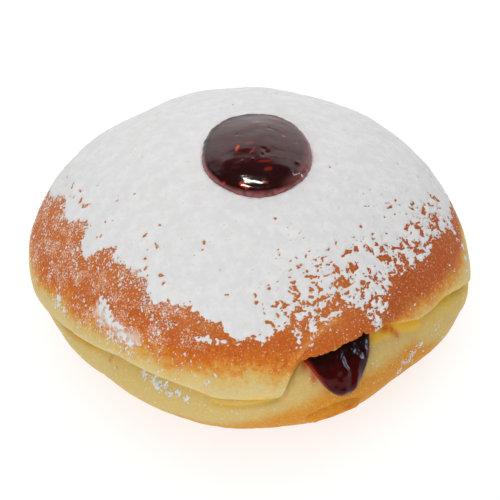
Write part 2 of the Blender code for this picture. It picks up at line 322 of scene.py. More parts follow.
def skin_relief(points):
    """How far the skin stands proud of its plain form. It stays plain at the foot and jam."""
    lumps = LUMP_HEIGHT * fractal(points, LUMP_SCALE, 1, 2)
    puckers = PUCKER_HEIGHT * fractal(points, PUCKER_SCALE, 5, 2)
    puckers += GRAIN_HEIGHT * noise(points, GRAIN_SCALE, 9)
    off = from_topping(points[..., 0] - AXIS_X, points[..., 1] - AXIS_Y)
    on_crown = points[..., 2] > EQUATOR_HEIGHT
    calm = np.where(on_crown, smoothstep(JAM_CLEAR_INNER, JAM_CLEAR_OUTER, off), 1)
    calm = calm * smoothstep(0, FOOT_CLEAR, points[..., 2])
    folds = fold_relief(azimuth_of(points), points[..., 2] - EQUATOR_HEIGHT)
    return (lumps + puckers) * calm + folds


def grid_normals(points, closed):
    """Unit normals of a grid of points, whose first axis may be closed on itself."""
    if closed:
        first = np.roll(points, -1, axis=0) - np.roll(points, 1, axis=0)
    else:
        first = np.gradient(points, axis=0)
    second = np.gradient(points, axis=1)
    normals = np.cross(first, second)
    length = np.linalg.norm(normals, axis=-1, keepdims=True)
    return normals / np.where(length == 0, 1, length)


def add_object(name, data):
    """An object in the scene with that mesh, light or camera."""
    made = bpy.data.objects.new(name, data)
    bpy.context.scene.collection.objects.link(made)
    return made


def make_object(name, points, faces, surface, fields=None):
    """A smooth mesh object from points in mm, with a surface and numbers on its points."""
    mesh = bpy.data.meshes.new(name)
    mesh.from_pydata((np.asarray(points) * MM).tolist(), [], faces)
    mesh.validate()
    mesh.shade_smooth()
    for field, values in (fields or {}).items():
        layer = mesh.attributes.new(field, "FLOAT", "POINT")
        layer.data.foreach_set("value", np.asarray(values, np.float32).ravel())
    mesh.materials.append(surface)
    return add_object(name, mesh)


def make_closed(name, grid, first_tip, last_tip, surface, fields_of):
    """A closed object from a grid of points and a point at each end of its columns."""
    columns, rows = grid.shape[:2]
    count = columns * rows
    points = np.concatenate([grid.reshape(-1, 3), [first_tip], [last_tip]])
    here = np.arange(count).reshape(columns, rows)
    after = np.roll(here, -1, axis=0)
    quads = np.stack([here[:, :-1], here[:, 1:], after[:, 1:], after[:, :-1]], axis=-1)
    faces = quads.reshape(-1, 4).tolist()
    faces += [(a, b, count) for a, b in zip(here[:, 0].tolist(), after[:, 0].tolist())]
    faces += [(a, count + 1, b) for a, b in zip(here[:, -1].tolist(), after[:, -1].tolist())]
    return make_object(name, points, faces, surface, fields_of(points))


class Nodes:
    """A tree of shader nodes under construction: short ways to add and join them."""

    def __init__(self, tree):
        self.tree = tree

    def link(self, source, target):
        """Joins an output to an input."""
        self.tree.links.new(source, target)

    def fill(self, socket, value):
        """Sets an input to a number or an sRGB colour, or joins an output to it."""
        if isinstance(value, (int, float)):
            socket.default_value = value
        elif isinstance(value, tuple):
            socket.default_value = linear(value)
        else:
            self.link(value, socket)

    def add(self, kind, **values):
        """A node with its inputs filled, each named with _ for a space."""
        node = self.tree.nodes.new(kind)
        for name, value in values.items():
            self.fill(node.inputs[name.replace("_", " ")], value)
        return node

    def math(self, operation, first, second):
        """A sum, product or other operation on two numbers."""
        node = self.add("ShaderNodeMath")
        node.operation = operation
        self.fill(node.inputs[0], first)
        self.fill(node.inputs[1], second)
        return node.outputs["Value"]

    def climb(self, value, low, high, least=0, most=1):
        """A smooth change from the least at low to the most at high."""
        node = self.add("ShaderNodeMapRange", Value=value, From_Min=low, From_Max=high,
                        To_Min=least, To_Max=most)
        node.interpolation_type = "SMOOTHSTEP"
        return node.outputs["Result"]


class Surface(Nodes):
    """A material under construction, round its own shader."""

    def __init__(self, name):
        self.material = bpy.data.materials.new(name)
        self.material.use_nodes = True
        super().__init__(self.material.node_tree)
        self.shader = self.tree.nodes["Principled BSDF"]
        self.coordinates = self.add("ShaderNodeTexCoord").outputs["Object"]

    def set(self, **values):
        """Sets or joins the shader's own sockets, each named with _ for a space."""
        for name, value in values.items():
            socket = self.shader.inputs[name.replace("_", " ")]
            if isinstance(value, bpy.types.NodeSocket):
                self.link(value, socket)
            else:
                socket.default_value = value

    def field(self, name, share=None):
        """A number stored on the mesh's points, or a share of it."""
        node = self.add("ShaderNodeAttribute")
        node.attribute_name = name
        value = node.outputs["Fac"]
        return value if share is None else self.math("MULTIPLY", value, share)

    def noise(self, scale_mm, detail=2, roughness=0.5):
        """Noise whose features are about that many millimetres wide."""
        node = self.add("ShaderNodeTexNoise", Vector=self.coordinates, Detail=detail,
                        Scale=1 / (scale_mm * MM), Roughness=roughness)
        return node.outputs["Fac"]

    def ramp(self, value, stops):
        """Colours along a value, each stop as (value, sRGB colour)."""
        low, high = stops[0][0], stops[-1][0]
        scaled = self.add("ShaderNodeMapRange", Value=value, From_Min=low, From_Max=high)
        node = self.add("ShaderNodeValToRGB", Fac=scaled.outputs["Result"])
        line = node.color_ramp
        while len(line.elements) < len(stops):
            line.elements.new(0.5)
        for element, (place, colour) in zip(line.elements, stops):
            element.position = (place - low) / (high - low)
            element.color = linear(colour)
        return node.outputs["Color"]

    def mix(self, share, first, second):
        """Two colours mixed by a share."""
        node = self.add("ShaderNodeMix")
        node.data_type = "RGBA"
        for name, value in (("Factor", share), ("A", first), ("B", second)):
            self.fill(next(s for s in node.inputs if s.name == name and s.enabled), value)
        return next(s for s in node.outputs if s.name == "Result" and s.enabled)

    def bump(self, height, distance_mm, strength, under=None):
        """A bump from a height of 0 to 1, over another bump if there is one."""
        node = self.add("ShaderNodeBump", Strength=strength, Distance=distance_mm * MM,
                        Height=height)
        if under is not None:
            self.link(under, node.inputs["Normal"])
        return node.outputs["Normal"]


def linear(colour):
    """An sRGB colour of 0 to 255 as linear numbers with an alpha of 1."""
    shares = [c / 255 for c in colour]
    return tuple(
        s / 12.92 if s <= 0.04045 else ((s + 0.055) / 1.055) ** 2.4 for s in shares
    ) + (1,)


# Colours, as sRGB
LOWER_PALE = (207, 181, 113)
PALE = (214, 193, 136)
STRAW = (213, 182, 112)
GOLDEN = (214, 150, 64)
ORANGE = (206, 112, 30)
BROWN = (190, 94, 34)
ROSY_BROWN = (194, 106, 50)
DEEP_BROWN = (174, 80, 26)
GOLD_TINT = (208, 138, 34)
# Painted shade: a saturated yellow for the dough in shade in the crease and the sunk folds
CREASE_SHADE_YELLOW = (238, 198, 66)
PORE = (228, 168, 104)
CREAM = (232, 208, 148)
TAN = (208, 164, 82)
DEEP_SPOT = (172, 78, 20)
RIDGE_TINT = (226, 152, 72)
STAIN = (198, 70, 34)
DUSTY = (234, 208, 186)
SMEAR = (232, 210, 198)
SUGAR_WHITE = (229, 228, 228)
SUGAR_SHADE = (221, 220, 220)
SUGAR_THIN = (222, 190, 168)
SUGAR_SPECK = (190, 160, 138)
FRUIT = (215, 62, 20)
# The jam on top and the jam inside, each where it is deep, where light is painted on it, and
# where it is thin
TOP_DEEP, TOP_PAINTED_LIT, TOP_THIN = (40, 8, 9), (70, 20, 20), (150, 88, 88)
INSIDE_DEEP, INSIDE_PAINTED_LIT, INSIDE_THIN = (28, 7, 5), (78, 4, 6), (134, 26, 36)


def crust_surface():
    """Fried dough: brown above, pale yellow round the waist, golden towards the foot."""
    s = Surface("crust")
    mottle = s.math("SUBTRACT", s.noise(1.6, 5, 0.7), 0.5)
    drift = s.math("SUBTRACT", s.noise(6, 3), 0.5)
    uneven = s.math("ADD", s.math("MULTIPLY", mottle, 7), s.math("MULTIPLY", drift, 4.5))
    browning = s.math("ADD", s.field("browning"), uneven)
    colour = s.ramp(
        browning,
        (
            (-9, LOWER_PALE), (-8, PALE), (-3, PALE), (-1, STRAW), (0.6, GOLDEN),
            (2.4, ORANGE), (5, BROWN), (9, ROSY_BROWN), (15, ROSY_BROWN),
        ),
    )
    gold = s.math("ADD", s.field("gold"), s.math("MULTIPLY", s.math("ADD", drift, mottle), 0.8))
    colour = s.mix(s.climb(gold, 0.1, 1), colour, GOLD_TINT)
    # Painted shade: the crease under the cap's edge and the sunk folds turn saturated yellow
    colour = s.mix(s.field("painted_crease_shade"), colour, CREASE_SHADE_YELLOW)
    colour = s.mix(s.field("ridge", 0.6), colour, RIDGE_TINT)
    brown = s.climb(browning, 0, 4)
    colour = s.mix(s.field("deep", 0.9), colour, DEEP_BROWN)
    spots = s.climb(s.noise(0.8, 3, 0.6), 0.54, 0.7, 0, 0.6)
    colour = s.mix(s.math("MULTIPLY", spots, brown), colour, DEEP_SPOT)
    pores = s.climb(s.noise(0.5, 3, 0.7), 0.5, 0.68, 0, s.climb(brown, 0, 1, 0.3, 0.5))
    colour = s.mix(pores, colour, s.mix(brown, CREAM, PORE))
    tan = s.climb(s.noise(1.4, 4, 0.7), 0.52, 0.78, 0, 0.5)
    colour = s.mix(s.math("MULTIPLY", tan, s.math("SUBTRACT", 1, brown)), colour, TAN)
    colour = s.mix(s.field("stain"), colour, STAIN)
    grain = s.noise(0.34, 3, 0.7)
    dust = s.field("dust", s.climb(s.noise(3.5, 4, 0.6), 0.35, 0.65, 0.55, 1.25))
    level = s.climb(dust, 0, 1, 0.8, 0.44)
    dusty = s.climb(grain, level, s.math("ADD", level, 0.1))
    colour = s.mix(s.math("MULTIPLY", dusty, 0.65), colour, DUSTY)
    haze = s.math("ADD", s.noise(1.3, 5, 0.75), s.field("smear", 0.55))
    colour = s.mix(s.climb(haze, 0.8, 1.16, 0, 0.85), colour, SMEAR)
    coarse = s.bump(s.noise(1.2, 3, 0.6), 0.12, 0.7)
    s.set(
        Base_Color=colour, Roughness=s.climb(dusty, 0, 1, 0.62, 0.9),
        Normal=s.bump(s.noise(0.45, 3, 0.65), 0.07, 0.7, coarse),
        Subsurface_Weight=0.4, Subsurface_Scale=0.0024, Subsurface_Radius=(1, 0.5, 0.18),
        IOR=1.4, Specular_IOR_Level=0.14,
    )
    return s.material


def sugar_surface(name):
    """Icing sugar: matt white, a little rosy where it is thin, finely grained."""
    s = Surface(name)
    shade = s.climb(s.noise(2.5, 3, 0.6), 0.35, 0.7)
    colour = s.mix(shade, SUGAR_SHADE, SUGAR_WHITE)
    specks = s.climb(s.noise(0.5, 2, 0.6), 0.65, 0.71, 0, 0.6)
    sparse = s.climb(s.noise(5, 2), 0.45, 0.6)
    colour = s.mix(s.math("MULTIPLY", specks, sparse), colour, SUGAR_SPECK)
    thin = s.climb(s.field("thickness"), 0, 0.12, 0.6, 0)
    coarse = s.bump(s.noise(1, 3, 0.6), 0.06, 0.7)
    s.set(
        Base_Color=s.mix(thin, colour, SUGAR_THIN), Roughness=0.9, Specular_IOR_Level=0.2,
        Normal=s.bump(s.noise(0.35, 2, 0.6), 0.07, 0.8, coarse),
    )
    return s.material


def jam_surface(name, deep, painted_lit, thin_colour, shine, roughness):
    """Glossy jam: nearly black where it is deep, crimson where it is thin, with fruit bits, and
    lighter where light is painted on it.
    """
    s = Surface(name)
    patchy = s.climb(s.noise(1.6, 3, 0.6), 0.3, 0.75, 0.4)
    # Painted light and shade: a field mixes the deep colour towards a lighter, painted lit one
    colour = s.mix(s.field("painted_light", patchy), deep, painted_lit)
    colour = s.mix(s.field("thin"), colour, thin_colour)
    colour = s.mix(s.field("fruit"), colour, FRUIT)
    s.set(
        Base_Color=colour, Roughness=roughness, IOR=1.42, Specular_IOR_Level=shine,
        Normal=s.bump(s.noise(0.9), 0.04, 0.4),
    )
    return s.material


# How finely the bun is divided, in degrees and rings
SLIT_FROM, SLIT_TO, SLIT_STEP = -12, 62, 0.45
FRONT_FROM, FRONT_TO, FRONT_STEP = -125, 115, 0.75
BACK_STEP = 1.15
CROWN_RINGS = 94
CROWN_CROWDING = 0.75
EDGE_RINGS = 10
ROOF_RINGS = 8
THROAT_RINGS = 3
FLOOR_RINGS = 8
SHOULDER_RINGS = 26
UNDERSIDE_RINGS = 44
UNDERSIDE_CROWDING = 1.4
FOOT_RINGS = 3


def bun_azimuths():
    """Azimuths of the bun's columns, closest together round the slit."""
    return np.concatenate([
        np.arange(FRONT_FROM, SLIT_FROM, FRONT_STEP),
        np.arange(SLIT_FROM, SLIT_TO, SLIT_STEP),
        np.arange(SLIT_TO, FRONT_TO, FRONT_STEP),
        np.arange(FRONT_TO, FRONT_FROM + 360, BACK_STEP),
    ])


def seam_height(azimuth):
    """The height of the cap's edge, a little uneven, and torn round the slit."""
    ring = around_axis(azimuth, CROWN_RADIUS, 0)
    torn = window(azimuth, *TORN_LIP)
    wobble = 0.1 * noise(ring, 5, 40)
    wobble += torn * (0.24 * noise(ring, 2.4, 41) + 0.14 * noise(ring, 0.9, 42))
    notch = 0.8 * bell(azimuth, 33, 0.5)
    return EQUATOR_HEIGHT + along(SEAM_RISE, azimuth) + wobble + notch


def arc(centre, across, up, start, end, steps):
    """Columns of (radius, height) along an elliptical arc, without its first point."""
    turn = np.radians(np.linspace(start, end, steps + 1)[1:])
    return (
        centre[0][:, None] + across[:, None] * np.cos(turn),
        centre[1][:, None] + up[:, None] * np.sin(turn),
    )


def straight(start, end, steps):
    """Columns of (radius, height) from one to another, without the first."""
    share = np.linspace(0, 1, steps + 1)[1:]
    return tuple(a[:, None] + (b - a)[:, None] * share for a, b in zip(start, end))


def shoulder_shape(azimuth, top):
    """The centre of the lower half's shoulder, and how far it reaches across and up."""
    waist = np.minimum(EQUATOR_HEIGHT - WAIST_DROP, top - WAIST_BELOW_CREASE)
    across = along(SHOULDER_ROUND, azimuth)
    return (along(LOWER_RADIUS, azimuth) - across, waist), across, top - waist


def underside(widest, waist):
    """Columns of (radius, height) from the waist down to the foot and in to the axis."""
    share = np.linspace(0, 1, UNDERSIDE_RINGS + 1)[1:]
    drop = np.sin(0.5 * np.pi * share**UNDERSIDE_CROWDING)
    left = 1 - (drop / UNDERSIDE_REACH) ** UNDERSIDE_FULLNESS
    radius = widest[:, None] * left ** (1 / UNDERSIDE_FULLNESS)
    foot = radius[:, -1:] * np.linspace(1, 0, FOOT_RINGS + 1)[1:-1]
    height = waist[:, None] * (1 - drop)
    return (
        np.concatenate([radius, foot], axis=1),
        np.concatenate([height, np.zeros_like(foot)], axis=1),
    )


def bun_grid(azimuth):
    """The bun's points, a column for each azimuth, from beside the apex to the foot."""
    seam = seam_height(azimuth)
    edge_round = along(CAP_EDGE_ROUND, azimuth)
    gap = along(CREASE_GAP, azimuth)
    edge_turn = np.arccos((seam + edge_round - EQUATOR_HEIGHT) / CROWN_RISE)
    share = np.linspace(0, 1, CROWN_RINGS + 1)[1:] ** CROWN_CROWDING
    crown = crown_points(azimuth[:, None], edge_turn[:, None] * share)

    edge_radius = along(CAP_RADIUS, azimuth) * np.sin(edge_turn)
    depth = np.maximum(along(CREASE_DEPTH, azimuth), edge_round + CREASE_BEYOND_EDGE)
    edge_centre = (edge_radius - edge_round, seam + edge_round)
    roof_start = (edge_radius - edge_round, seam)
    roof_end = (edge_radius - depth, seam - 0.35 * gap)
    floor_start = (edge_radius - depth, seam - 0.65 * gap)
    centre, across, up = shoulder_shape(azimuth, seam - gap)
    pieces = [
        arc(edge_centre, edge_round, edge_round, 0, -90, EDGE_RINGS),
        straight(roof_start, roof_end, ROOF_RINGS),
        straight(roof_end, floor_start, THROAT_RINGS),
        straight(floor_start, (centre[0], seam - gap), FLOOR_RINGS),
        arc(centre, across, up, 90, 0, SHOULDER_RINGS),
        underside(centre[0] + across, centre[1]),
    ]
    radius = np.concatenate([piece[0] for piece in pieces], axis=1)
    height = np.concatenate([piece[1] for piece in pieces], axis=1)
    return np.concatenate([crown, around_axis(azimuth[:, None], radius, height)], axis=1)


# Jam stains on the dough, as (azimuth, rise, width, height) of each
STAINS = (
    (44.6, 7.2, 1.6, 0.7), (46.4, 6.3, 1, 0.8), (47.4, 5.2, 0.7, 0.8),
    (15.4, 7.4, 0.8, 1.4), (17.2, 4.8, 0.7, 1.2),
    (21.4, -5.7, 1, 0.45), (23, -5.2, 0.5, 0.4), (26.8, -4.6, 1.1, 0.4),
    (-43.7, 1.3, 0.35, 0.4), (-43.9, 0.4, 0.3, 0.4), (-40.8, 0, 0.3, 0.4),
)


# How brown the palest skin of the cap is, and that of the lower half, as for BROWN_EDGE
BROWNING_LEAST, BROWNING_BELOW = -3.2, -12


def bun_fields(points):
    """The numbers on the bun's points that the crust's colours follow, painted crease shade
    among them.
    """
    azimuth = azimuth_of(points)
    rise = points[..., 2] - EQUATOR_HEIGHT
    seam = along(SEAM_RISE, azimuth)
    gap = along(CREASE_GAP, azimuth)
    above = rise - seam
    browning = np.maximum(rise - along(BROWN_EDGE, azimuth), BROWNING_LEAST)
    browning = np.where(above > -0.3, browning, BROWNING_BELOW)
    gold = smoothstep(4, -4, rise - along(GOLD_EDGE, azimuth))
    radius = np.hypot(points[..., 0] - AXIS_X, points[..., 1] - AXIS_Y)
    inside = smoothstep(0.5, -2.5, radius - along(LOWER_RADIUS, azimuth))
    beside_slit = window(azimuth, *BESIDE_SLIT)
    # Painted shade: under the cap's edge, inside the crease, reaching lower beside the slit
    near = window(above, -gap - 1 - 1.6 * beside_slit, -0.2, 0.9)
    painted_crease_shade = near * np.maximum(inside, 0.45 + 0.05 * beside_slit)
    pale = smoothstep(0, -2, browning) * (1 - gold)
    # Painted shade along the sunk folds on the pale skin
    for path, half_width, height in FOLDS:
        off, ends = beside_path(path, azimuth, rise)
        line = 0.65 * (height < 0) * ends * pale * bell(off, 0, 0.8 * half_width)
        painted_crease_shade = np.maximum(painted_crease_shade, line)
    # Painted shade below the crease at the right
    yellow = 0.4 * window(azimuth, *YELLOW_RIGHT) * bell(rise, seam - 2.2, 2)
    painted_crease_shade = np.maximum(painted_crease_shade, yellow)
    dust = 0.7 * smoothstep(-5, 4, browning)
    dust *= 0.12 + 0.88 * window(azimuth, *DUSTY_LEFT)
    smear = window(azimuth, *SMEARED_LEFT) * bell(rise, 11.4, 2.8)
    deep = window(azimuth, *DEEP_RIGHT) * smoothstep(0.5, 3, browning)
    stain = np.zeros_like(rise)
    for at, height, width, tall in STAINS:
        off = arc_length(azimuth - at, STAIN_RADIUS)
        stain = np.maximum(stain, 0.8 * bell(off, 0, width) * bell(rise, height, tall))
    return {
        "browning": browning, "gold": gold, "painted_crease_shade": painted_crease_shade, "dust": dust,
        "stain": stain, "ridge": ridge_lines(azimuth, rise), "smear": smear, "deep": deep,
    }


def make_dough():
    """The bun in fine mesh: cap, crease, slit, lower half and flat foot."""
    azimuth = bun_azimuths()
    grid = bun_grid(azimuth)
    normals = grid_normals(grid, closed=True)
    normals *= np.sign(normals[:, CROWN_RINGS // 2, 2].mean())
    grid = grid + normals * skin_relief(grid)[..., None]
    grid[..., 2] = np.maximum(grid[..., 2], 0)
    apex = around_axis(0, 0, crown_height(0, 0))
    foot = around_axis(0, 0, 0)
    made = make_closed("bun", grid, apex, foot, crust_surface(), bun_fields)
    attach(made, "root")
    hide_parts("dough")
    return grid, normals


# The sugar's film: its grid, thickness and how its edge and holes are broken up, in mm
SUGAR_STEP = 0.29
SUGAR_TURN_LENGTH = 42
SUGAR_LOWEST_TURN = 80
SUGAR_THICKNESS = 0.3
SUGAR_SINK = 0.35
SUGAR_BANK = 0.35
SUGAR_INNER_SHARE = 0.85
MM_PER_DEGREE = 0.63
# Its noises: scale in mm, seed, octaves, and the share of its strength that each octave keeps
FINE = (1.5, 61, 4, 0.7)
CRUMBLY = (0.9, 67, 2, 0.7)
SHARDS = (1.7, 70, 4, 0.8)
GAPS = (2.4, 73, 3, 0.6)
ROUGH = (1.4, 80, 3, 0.6)
# Loose patches of film on the crust: azimuth, turn, half width across and half height, in mm
PATCHES = (
    (-14.3, 60.8, 1.3, 0.5), (-11.8, 61.5, 0.5, 0.4), (-8.4, 61.2, 1, 0.6),
    (-26.6, 62.3, 0.4, 0.4), (-12.8, 60, 0.5, 0.4), (13.4, 59, 0.6, 2.6),
    (17.6, 58.5, 0.9, 2), (19.2, 60.6, 0.7, 0.8), (24.5, 56, 2.6, 0.7),
    (14.6, 64, 1.6, 0.35), (-48.5, 66.2, 1, 1.9), (-45.5, 65.2, 1.5, 0.8),
    (-43.5, 67.2, 1.6, 0.8), (-40, 66.8, 1.2, 0.8), (-37.5, 69, 1.3, 0.9),
    (-34, 69.8, 1.1, 0.8), (-67, 80, 0.9, 1.6), (86, 66, 0.8, 1.2),
    (85, 69.5, 0.7, 1), (84.5, 73, 0.7, 1.1), (83, 76.4, 0.8, 0.8),
    (42.5, 60.5, 0.5, 1.6), (38.6, 64, 1.1, 0.9),
)
# Bare places in the film: azimuth, turn, half width across and half height, in mm
BARE = (
    (95, 57, 1, 1.6), (83, 51, 1.6, 0.5), (82.4, 56.7, 1, 0.6),
    (64.5, 50.5, 0.5, 1.1), (65.9, 54.5, 1, 0.9), (40.8, 40.7, 1.3, 0.5),
    (45.7, 41, 0.7, 0.6), (52, 47.6, 0.9, 0.6), (70.3, 47.3, 0.8, 0.5),
    (39.5, 45.3, 1.5, 1.2), (32.6, 48, 1.4, 1.2), (22.9, 43, 0.8, 0.5),
    (15.5, 43.3, 0.8, 0.4), (1.8, 48.3, 0.5, 0.5), (1.4, 52.7, 0.5, 0.5),
    (23.3, 50, 1.6, 0.6), (28, 51.8, 1, 1), (31, 57, 1.6, 0.7),
    (-69, 43, 0.25, 0.45), (-67.8, 50.8, 0.25, 0.3), (-50.8, 39.6, 0.3, 0.9),
    (-33.7, 45.4, 0.8, 0.35), (-43, 43.6, 0.25, 0.25), (-48.7, 42.9, 0.2, 0.2),
    (-83, 47.5, 0.6, 1.3), (-40.5, 46.1, 0.25, 0.5),
)


def spot_reach(azimuth, degrees, spot):
    """How far places are from a spot's middle, as a share of its half sizes."""
    at, low, width, tall = spot
    across = arc_length(azimuth - at, CROWN_RADIUS) * math.sin(math.radians(low))
    return np.hypot(across / width, (degrees - low) * MM_PER_DEGREE / tall)


def between_breaks(points, bent, azimuth, inside):
    """How far places are from where the film is torn into shards, with thin curved gaps."""
    broken = window(azimuth, *BROKEN_SUGAR)
    near = smoothstep(19, 1, inside)
    level = 1.55 - broken * (0.25 + 0.95 * near) - 0.4 * noise(points, 4.5, 71)
    shards = (level - fractal(bent, *SHARDS)) * 1.5
    spread = 0.2 * broken * near * smoothstep(0.05, 0.45, noise(points, 1.5, 74))
    gaps = (np.abs(fractal(bent, *GAPS)) - spread) * 3 + (1 - broken * near)
    return np.minimum(shards, gaps)


def between_cracks(points, bent, inside):
    """How far places are from the fine cracks near the film's edge, and from small dots."""
    parted = smoothstep(0.18, 0.5, noise(points, 1.1, 77)) * smoothstep(26, 6, inside)
    cracks = (np.abs(noise(bent, 8, 76)) - 0.05 * parted) * 8 + 0.7 * (1 - parted)
    dots = (0.86 - noise(points, 0.9, 78)) * 1.5
    return np.minimum(cracks, dots)


def sugar_cover(points, azimuth, turn):
    """How surely sugar lies there, in mm inside its ragged edge, below 0 where it doesn't."""
    degrees = np.degrees(turn)
    inside = (along(SUGAR_EDGE, azimuth) - degrees) * MM_PER_DEGREE
    bent = points + 0.7 * np.stack([noise(points, 1.5, seed) for seed in (64, 65, 66)], axis=-1)
    fine, crumbly = fractal(bent, *FINE), fractal(points, *CRUMBLY)
    cover = inside * 0.8 + 0.9 * noise(points, 4, 60) + fine + 0.3 * crumbly
    for spot in PATCHES:
        reach = spot_reach(azimuth, degrees, spot)
        cover = np.maximum(cover, 0.8 - 0.8 * reach + 0.4 * fine + 0.8 * crumbly)
    for spot in BARE:
        reach = spot_reach(azimuth, degrees, spot)
        cover = np.minimum(cover, 0.6 * (reach - 0.8) + 0.2 * fine + 0.6 * crumbly)
    cover = np.minimum(cover, between_breaks(points, bent, azimuth, inside))
    return np.minimum(cover, between_cracks(points, bent, inside))


def make_sugar():
    """The film of icing sugar on the crown, sinking into the crust where it ends."""
    half = SUGAR_TURN_LENGTH * math.radians(SUGAR_LOWEST_TURN)
    steps = np.arange(-half, half + SUGAR_STEP, SUGAR_STEP)
    across, forward = np.meshgrid(steps, steps, indexing="ij")
    reach = np.hypot(across, forward)
    turn = np.minimum(reach / SUGAR_TURN_LENGTH, math.radians(SUGAR_LOWEST_TURN))
    azimuth = np.degrees(np.arctan2(across, -forward))
    base = crown_points(azimuth, turn)
    normals = grid_normals(base, closed=False)
    normals *= np.sign(normals[len(steps) // 2, len(steps) // 2, 2])
    cover = sugar_cover(base, azimuth, turn)
    rough = 0.05 * fractal(base, *ROUGH)
    full = SUGAR_THICKNESS * (1 - np.exp(-np.maximum(cover, 0) / 0.45))
    lift = np.where(cover > 0, full + rough * smoothstep(0, 0.8, cover), cover * 0.9)
    off = from_topping(base[..., 0] - AXIS_X, base[..., 1] - AXIS_Y)
    lift = np.maximum(lift, -SUGAR_SINK) + SUGAR_BANK * bell(off, 1.03, 0.07)
    grid = base + normals * (skin_relief(base) + lift)[..., None]
    open_crown = off > SUGAR_INNER_SHARE
    shown = (lift > -0.12) & (reach < half - 2 * SUGAR_STEP) & open_crown
    # A face stays if any of its corners shows
    keep = shown[:-1, :-1] | shown[1:, :-1] | shown[1:, 1:] | shown[:-1, 1:]
    i, j = np.nonzero(keep)
    width = len(steps)
    corner = i * width + j
    quads = np.stack([corner, corner + width, corner + width + 1, corner + 1], axis=1)
    used, packed = np.unique(quads, return_inverse=True)
    made = make_object(
        "sugar_film", grid.reshape(-1, 3)[used], packed.reshape(quads.shape).tolist(),
        sugar_surface("sugar"), {"thickness": lift.ravel()[used]},
    )
    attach(made, "root")


# Loose crumbs of sugar: how many, how large in mm, and how many corners each has
CRUMBS = 5600
CRUMB_SIZE, CRUMB_SPREAD = 0.11, 0.5
CRUMB_SIZE_MOST = 0.55
CRUMB_SIDES = 6
# Heaps of larger crumbs, as (azimuth, rise, spread in mm, count)
HEAPS = (
    (-31.7, 2.1, 0.6, 10), (-27.8, 1.9, 0.8, 16), (-26.5, 0.9, 0.6, 10), (-24.6, 1.9, 0.6, 10),
    (-23.1, 0.3, 0.6, 10), (-20.5, 1.2, 0.6, 8), (-18, 0.6, 0.5, 8), (51.6, -1.1, 0.7, 14),
    (47.6, -1.7, 0.5, 6), (46.9, -3.7, 0.7, 10), (54.4, -0.1, 0.6, 8), (50, -2, 0.9, 10),
    (37, 13.2, 0.8, 14), (38.5, 12.6, 0.5, 8), (61.2, 1.4, 0.4, 3), (68.4, 6.7, 0.3, 3),
    (-67.5, 4.9, 0.8, 14), (-64, 4.7, 0.5, 6), (-11.9, 7.4, 0.3, 2), (-36, 8.6, 1.2, 10),
    (-41, 9.5, 1.6, 14), (-47, 10.2, 1.2, 10),
)
CRUMB_CHANCE_BELOW = 0.04


def crumb_chance(points):
    """How likely loose crumbs lie at points: most on the brown crust at the left."""
    azimuth = azimuth_of(points)
    rise = points[..., 2] - EQUATOR_HEIGHT
    above_brown = rise - along(BROWN_EDGE, azimuth)
    turn = np.degrees(np.arccos(np.clip(rise / CROWN_RISE, -1, 1)))
    below_sugar = (turn - along(SUGAR_EDGE, azimuth)) * MM_PER_DEGREE
    on_cap = rise > along(SEAM_RISE, azimuth) + 0.3
    brown = smoothstep(-4, 3, above_brown) * smoothstep(-1.5, 0.5, below_sugar)
    side = 0.15 + 0.85 * window(azimuth, *CRUMBED_LEFT)
    near = 0.35 + 0.65 * smoothstep(5, 0, below_sugar)
    patchy = 0.35 + 1.3 * smoothstep(-0.4, 0.6, noise(points, 3, 110))
    lower = CRUMB_CHANCE_BELOW * smoothstep(-9, -2, rise)
    return np.where(on_cap, brown * side * near * patchy, lower)


def crumb_places(grid, normals):
    """Random places on the skin, and the direction out of it and down it at each."""
    rng = np.random.default_rng(23)
    right, down = np.roll(grid, -1, axis=0) - grid, np.zeros_like(grid)
    down[:, :-1] = grid[:, 1:] - grid[:, :-1]
    area = np.linalg.norm(np.cross(right, down), axis=-1)
    azimuth = azimuth_of(grid)
    rise = grid[..., 2] - EQUATOR_HEIGHT
    outer = np.sum(normals * (grid - [AXIS_X, AXIS_Y, EQUATOR_HEIGHT]), axis=-1) > 0
    weight = (area * crumb_chance(grid) * outer).ravel()
    chosen = rng.choice(weight.size, CRUMBS, p=weight / weight.sum())
    sizes = np.minimum(CRUMB_SIZE * rng.lognormal(0, CRUMB_SPREAD, CRUMBS), CRUMB_SIZE_MOST)
    for at, height, spread, count in HEAPS:
        off = arc_length(azimuth - at, HEAP_RADIUS)
        near = outer & (np.hypot(off, rise - height) < 2.5 * spread)
        chance = (near * area * np.exp(-(off**2 + (rise - height) ** 2) / spread**2)).ravel()
        if chance.sum() > 0:
            more = rng.choice(chance.size, 3 * count, p=chance / chance.sum())
            chosen = np.append(chosen, more)
            sizes = np.append(sizes, rng.uniform(0.08, 0.32, 3 * count))
    jitter = rng.uniform(0, 1, (2, len(chosen), 1))
    flat_right, flat_down = right.reshape(-1, 3)[chosen], down.reshape(-1, 3)[chosen]
    places = grid.reshape(-1, 3)[chosen] + jitter[0] * flat_right + jitter[1] * flat_down
    return places, normals.reshape(-1, 3)[chosen], flat_down, sizes, rng


